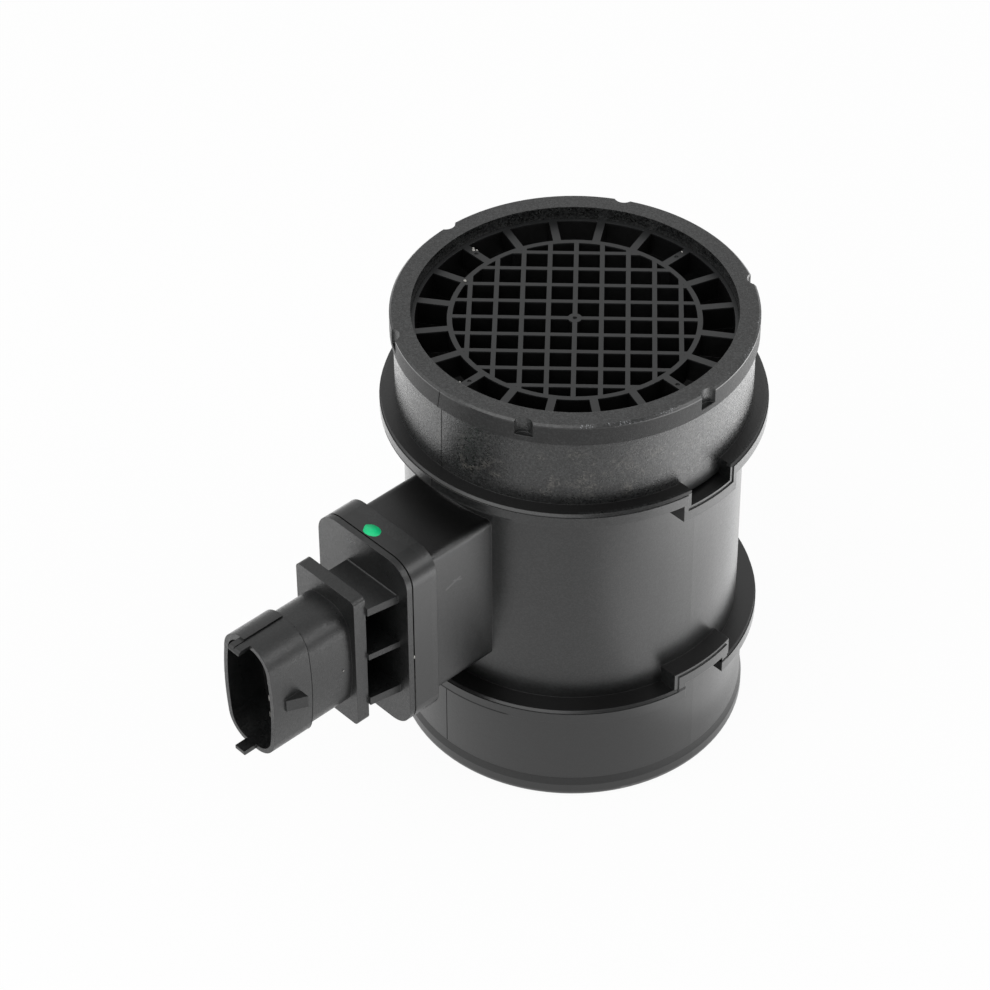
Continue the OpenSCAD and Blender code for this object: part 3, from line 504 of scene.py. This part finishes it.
# Barium titanate ceramic, fired, tan with darker patches of 0.5 mm
dress("board_capacitors", worked("titanate_ceramic_fired", "#8f6d48", "#b08b62", 0.5 * MM, (0.35, 0.5),
                                 0.01 * MM, IOR=1.6))
# Thick-film resistor under a glass glaze, black with a greenish cast, in patches of 0.5 mm
dress("board_resistors", worked("thick_film_under_glass", "#101312", "#1f2422", 0.5 * MM, (0.15, 0.3),
                                0.005 * MM, IOR=1.52))
# Stainless sheet, blanked and tumbled, in patches of 0.4 mm
dress("chip_holder", worked("stainless_sheet_tumbled", "#9b9da1", "#b4b6ba", 0.4 * MM, (0.25, 0.4),
                            0.01 * MM, Metallic=1.0))
# Polished silicon under its oxide film, blue-grey, with hardly any relief
dress("sensor_chip", worked("silicon_polished_oxide", "#33405a", "#4c5b78", 1 * MM, (0.05, 0.12),
                            0.001 * MM, IOR=1.9))

# The thermistor senses the air's own warmth. It is a bead of glazed oxide on two tinned leads,
# which stand out of the module's block into the duct.

# Tin on nickel-iron wire, dipped and wiped, streaked every 0.5 mm
dress("thermistor_leads", worked("tinned_wire_dipped", "#b9b8b2", "#d3d2cc", 0.5 * MM, (0.2, 0.35),
                                 0.01 * MM, Metallic=1.0))
# Sintered oxide under a brown glass glaze, in patches of 0.6 mm
dress("thermistor_bead", worked("oxide_bead_glazed", "#2b211c", "#46372f", 0.6 * MM, (0.08, 0.18),
                                0.01 * MM, IOR=1.52))

# Five tinned bronze pins stand in the connector and end on the board. They are stamped from strip,
# and their slots in the moulding hold them.

# Tin over bronze strip, with stamping lines drawn 0.25 mm apart along the pin
pin_skin = worked("bronze_pin_tinned", "#bdbcb6", "#d6d5cf", 0.25 * MM, (0.22, 0.35), 0.008 * MM,
                  stretch=(1, 0.15, 1), Metallic=1.0)
for i in range(1, 6):
    dress(f"terminal_pin_{i}", pin_skin)

# A dab of green paint on the pocket's flange shows that the sensor passed its test. It is brushed
# on from a bottle, so it is a low dome with an uneven edge.
dab_low, dab_high = (Vector(corner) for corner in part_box("paint_dot"))
dab_mid, dab_size = (dab_low + dab_high) / 2, dab_high - dab_low
DAB_RINGS, DAB_STEPS = 5, 40
DAB_DOME = 0.1 * MM
DAB_SKIRT = 0.08 * MM
# How much wider than the CAD's dot the dab is, and how uneven its edge and its top are
DAB_GROWN, DAB_EDGE_UNEVEN, DAB_TOP_UNEVEN = 1.1, 0.14, 0.25


def dab_middle(mesh):
    """The face inside the innermost ring of the dab so far"""
    return [f for f in mesh.faces if len(f.verts) == DAB_STEPS]


bm = bmesh.new()
bmesh.ops.create_circle(bm, cap_ends=True, segments=DAB_STEPS, radius=1)
for _ in range(1, DAB_RINGS):
    bmesh.ops.inset_region(bm, faces=dab_middle(bm), thickness=1 / DAB_RINGS, use_even_offset=True)
bmesh.ops.poke(bm, faces=dab_middle(bm))
for v in bm.verts:
    out = Vector((v.co.x, v.co.y, 0)).length
    wobble = DAB_GROWN + DAB_EDGE_UNEVEN * noise.noise(Vector((v.co.x, v.co.y, 3.7)) * 1.6) * out
    uneven = DAB_TOP_UNEVEN * noise.noise(Vector((v.co.x, v.co.y, 9.2)) * 3) * (1 - out)
    lift = math.sqrt(max(0.0, 1 - out ** 4)) + uneven
    v.co = Vector((v.co.x * wobble * dab_size.x / 2, v.co.y * wobble * dab_size.y / 2, DAB_DOME * lift))
skirt = bmesh.ops.extrude_edge_only(bm, edges=[e for e in bm.edges if e.is_boundary])["geom"]
bmesh.ops.translate(bm, verts=[v for v in skirt if isinstance(v, bmesh.types.BMVert)],
                    vec=(0, 0, -DAB_SKIRT))
bmesh.ops.holes_fill(bm, edges=[e for e in bm.edges if e.is_boundary])
bmesh.ops.translate(bm, verts=bm.verts, vec=(dab_mid.x, dab_mid.y, dab_low.z))
for f in bm.faces:
    f.smooth = True
# Acrylic paint with a wet look, a little uneven in tone over 1.2 mm
paint = worked("acrylic_paint_brushed", "#0fc87f", "#16dd90", 1.2 * MM, (0.35, 0.55), 0.02 * MM, IOR=1.4)
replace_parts(piece("paint_dab", bm, paint), "paint_dot")

# The floor is a plain white sheet, as of paper, that keeps the object's shadow. It is wide enough
# for every view.
FLOOR_SIZE = 4.0
# How much of the sheet is plain white where it is seen, and how bright that white is in gloss
SHEET_WHITE, SHEET_IN_GLOSS = 0.95, 0.94


def white_sheet():
    """White paper that the camera and glossy rays see as white, apart from the object's shadow"""
    made, tree = blank("white_paper_sheet")
    path = add(tree, "LightPath")
    by_camera, in_gloss = path.outputs["Is Camera Ray"], path.outputs["Is Glossy Ray"]
    seen = add(tree, "Math", {0: by_camera, 1: in_gloss}, operation="MAXIMUM")
    seen = add(tree, "Math", {0: seen, 1: path.outputs["Is Transmission Ray"]}, operation="MAXIMUM")
    paper = add(tree, "BsdfDiffuse", {"Color": linear("#f4f4f4")})
    level = add(tree, "MapRange", {0: in_gloss, 3: 1.0, 4: SHEET_IN_GLOSS})
    glow = add(tree, "Emission", {"Color": linear("#ffffff"), "Strength": level})
    mixed = add(tree, "MixShader", {0: times(tree, seen, SHEET_WHITE), 1: paper, 2: glow})
    add(tree, "OutputMaterial", {0: mixed})
    return made


bm = bmesh.new()
bmesh.ops.create_grid(bm, x_segments=1, y_segments=1, size=FLOOR_SIZE / 2)
sheet = bpy.data.meshes.new("floor")
bm.to_mesh(sheet)
bm.free()
floor = bpy.data.objects.new("floor", sheet)
bpy.context.scene.collection.objects.link(floor)
sheet.materials.append(white_sheet())

# The light is that of a white tent, which the camera sees as white. In gloss its roof is a little
# darker, and its open front darker still.
TENT_LIGHT, TENT_IN_GLOSS, TENT_SEEN = 0.6, 0.75, 1.0
FRONT_AZIMUTH, FRONT_ELEVATION, FRONT_SHADE = 47, 12, 0.65
# The front begins and is darkest where a way has these cosines with the middle of the front
FRONT_BEGINS, FRONT_DARKEST = 0.45, 0.9


def toward(azimuth, elevation):
    """The way out from the object at an azimuth, from -Y towards +X, and an elevation, in degrees"""
    a, e = math.radians(azimuth), math.radians(elevation)
    return Vector((math.sin(a) * math.cos(e), -math.cos(a) * math.cos(e), math.sin(e)))


world = bpy.data.worlds.new("white_tent")
bpy.context.scene.world = world
world.use_nodes = True
sky = world.node_tree
sky.nodes.clear()
ray = add(sky, "TexCoord").outputs["Generated"]
front = toward(FRONT_AZIMUTH, FRONT_ELEVATION)
facing = add(sky, "VectorMath", {0: ray, 1: front}, operation="DOT_PRODUCT")
shade = add(sky, "MapRange", {0: facing, 1: FRONT_BEGINS, 2: FRONT_DARKEST, 3: 1.0, 4: 1 - FRONT_SHADE},
            interpolation_type="SMOOTHSTEP")
path = add(sky, "LightPath")
by_camera, through_glass = path.outputs["Is Camera Ray"], path.outputs["Is Transmission Ray"]
seen = add(sky, "Math", {0: by_camera, 1: through_glass}, operation="MAXIMUM")
gloss = add(sky, "MapRange", {0: path.outputs["Is Glossy Ray"], 3: TENT_LIGHT, 4: TENT_IN_GLOSS})
strength = add(sky, "MapRange", {0: seen, 3: times(sky, gloss, shade), 4: TENT_SEEN})
tent = add(sky, "Background", {"Color": linear("#ffffff"), "Strength": strength})
add(sky, "OutputWorld", {0: tent})

# Three soft panels lie just over the floor, two at the object's right and one behind it at the
# left. Its upright walls mirror them, as they would mirror a lit table.


def lamp(name, shape, wide, deep, level):
    """An area light, wide by deep in metres and level times as bright as white, that the camera
    doesn't see"""
    light = bpy.data.lights.new(name, "AREA")
    light.shape = shape
    light.size, light.size_y = wide, deep
    light.energy = level * math.pi * wide * deep
    made = bpy.data.objects.new(name, light)
    bpy.context.scene.collection.objects.link(made)
    made.visible_camera = False
    return made


def low_panel(name, azimuth, near, deep, shift, wide, level, height):
    """A soft panel that shines up. It starts near off the object in the direction of azimuth, is
    deep that way and wide across, and is moved across by shift, all in mm"""
    turn = Matrix.Rotation(math.radians(azimuth - 180), 4, "Z")
    over = turn @ Vector((shift * MM, (near + deep / 2) * MM, height * MM))
    panel = lamp(name, "RECTANGLE", wide * MM, deep * MM, level)
    panel.matrix_world = Matrix.Translation(over) @ turn @ Matrix.Rotation(math.pi, 4, "X")


low_panel("right_panel", azimuth=125, near=48, deep=330, shift=-45, wide=300, level=0.76, height=2)
low_panel("right_far_panel", azimuth=125, near=112, deep=300, shift=-45, wide=320, level=1.5, height=3)
low_panel("left_panel", azimuth=-83, near=82, deep=300, shift=0, wide=300, level=0.66, height=2)

# Three soft boxes hang round the object, a large one high in front and one at each side. They
# light the chamfers and the rounded edges.


def soft_box(name, azimuth, elevation, distance, size, level):
    """A square soft box that faces the object, with its distance and size in metres"""
    way = toward(azimuth, elevation)
    box = lamp(name, "SQUARE", size, size, level)
    box.location = way * distance
    box.rotation_euler = way.to_track_quat("Z", "Y").to_euler()


soft_box("key_soft_box", azimuth=14, elevation=46, distance=1.4, size=1.4, level=1.6)
soft_box("right_soft_box", azimuth=120, elevation=38, distance=1.2, size=0.5, level=2.5)
soft_box("left_soft_box", azimuth=-45, elevation=32, distance=1.2, size=0.5, level=0.8)

# The camera stands where the photograph was taken from. It looks down on the connector's side
# with a long lens, turned a hair about its own axis.
AIM = Vector((-4.65, -20.62, 68.29)) * MM
CAMERA_AZIMUTH, CAMERA_ELEVATION, CAMERA_ROLL = 46.96, 41.33, -0.334
CAMERA_DISTANCE = 867.4 * MM
SENSOR, LENS = 36.0, 136.49
NEAREST_SEEN = 0.05

back = toward(CAMERA_AZIMUTH, CAMERA_ELEVATION)
camera_data = bpy.data.cameras.new("camera")
camera_data.sensor_width = SENSOR
camera_data.lens = LENS
camera_data.clip_start = NEAREST_SEEN
camera = bpy.data.objects.new("camera", camera_data)
bpy.context.scene.collection.objects.link(camera)
camera.rotation_mode = "QUATERNION"
roll = Matrix.Rotation(math.radians(CAMERA_ROLL), 3, "Z").to_quaternion()
camera.rotation_quaternion = back.to_track_quat("Z", "Y") @ roll
camera.location = AIM + back * CAMERA_DISTANCE
bpy.context.scene.camera = camera
bpy.context.scene.view_settings.view_transform = "Standard"
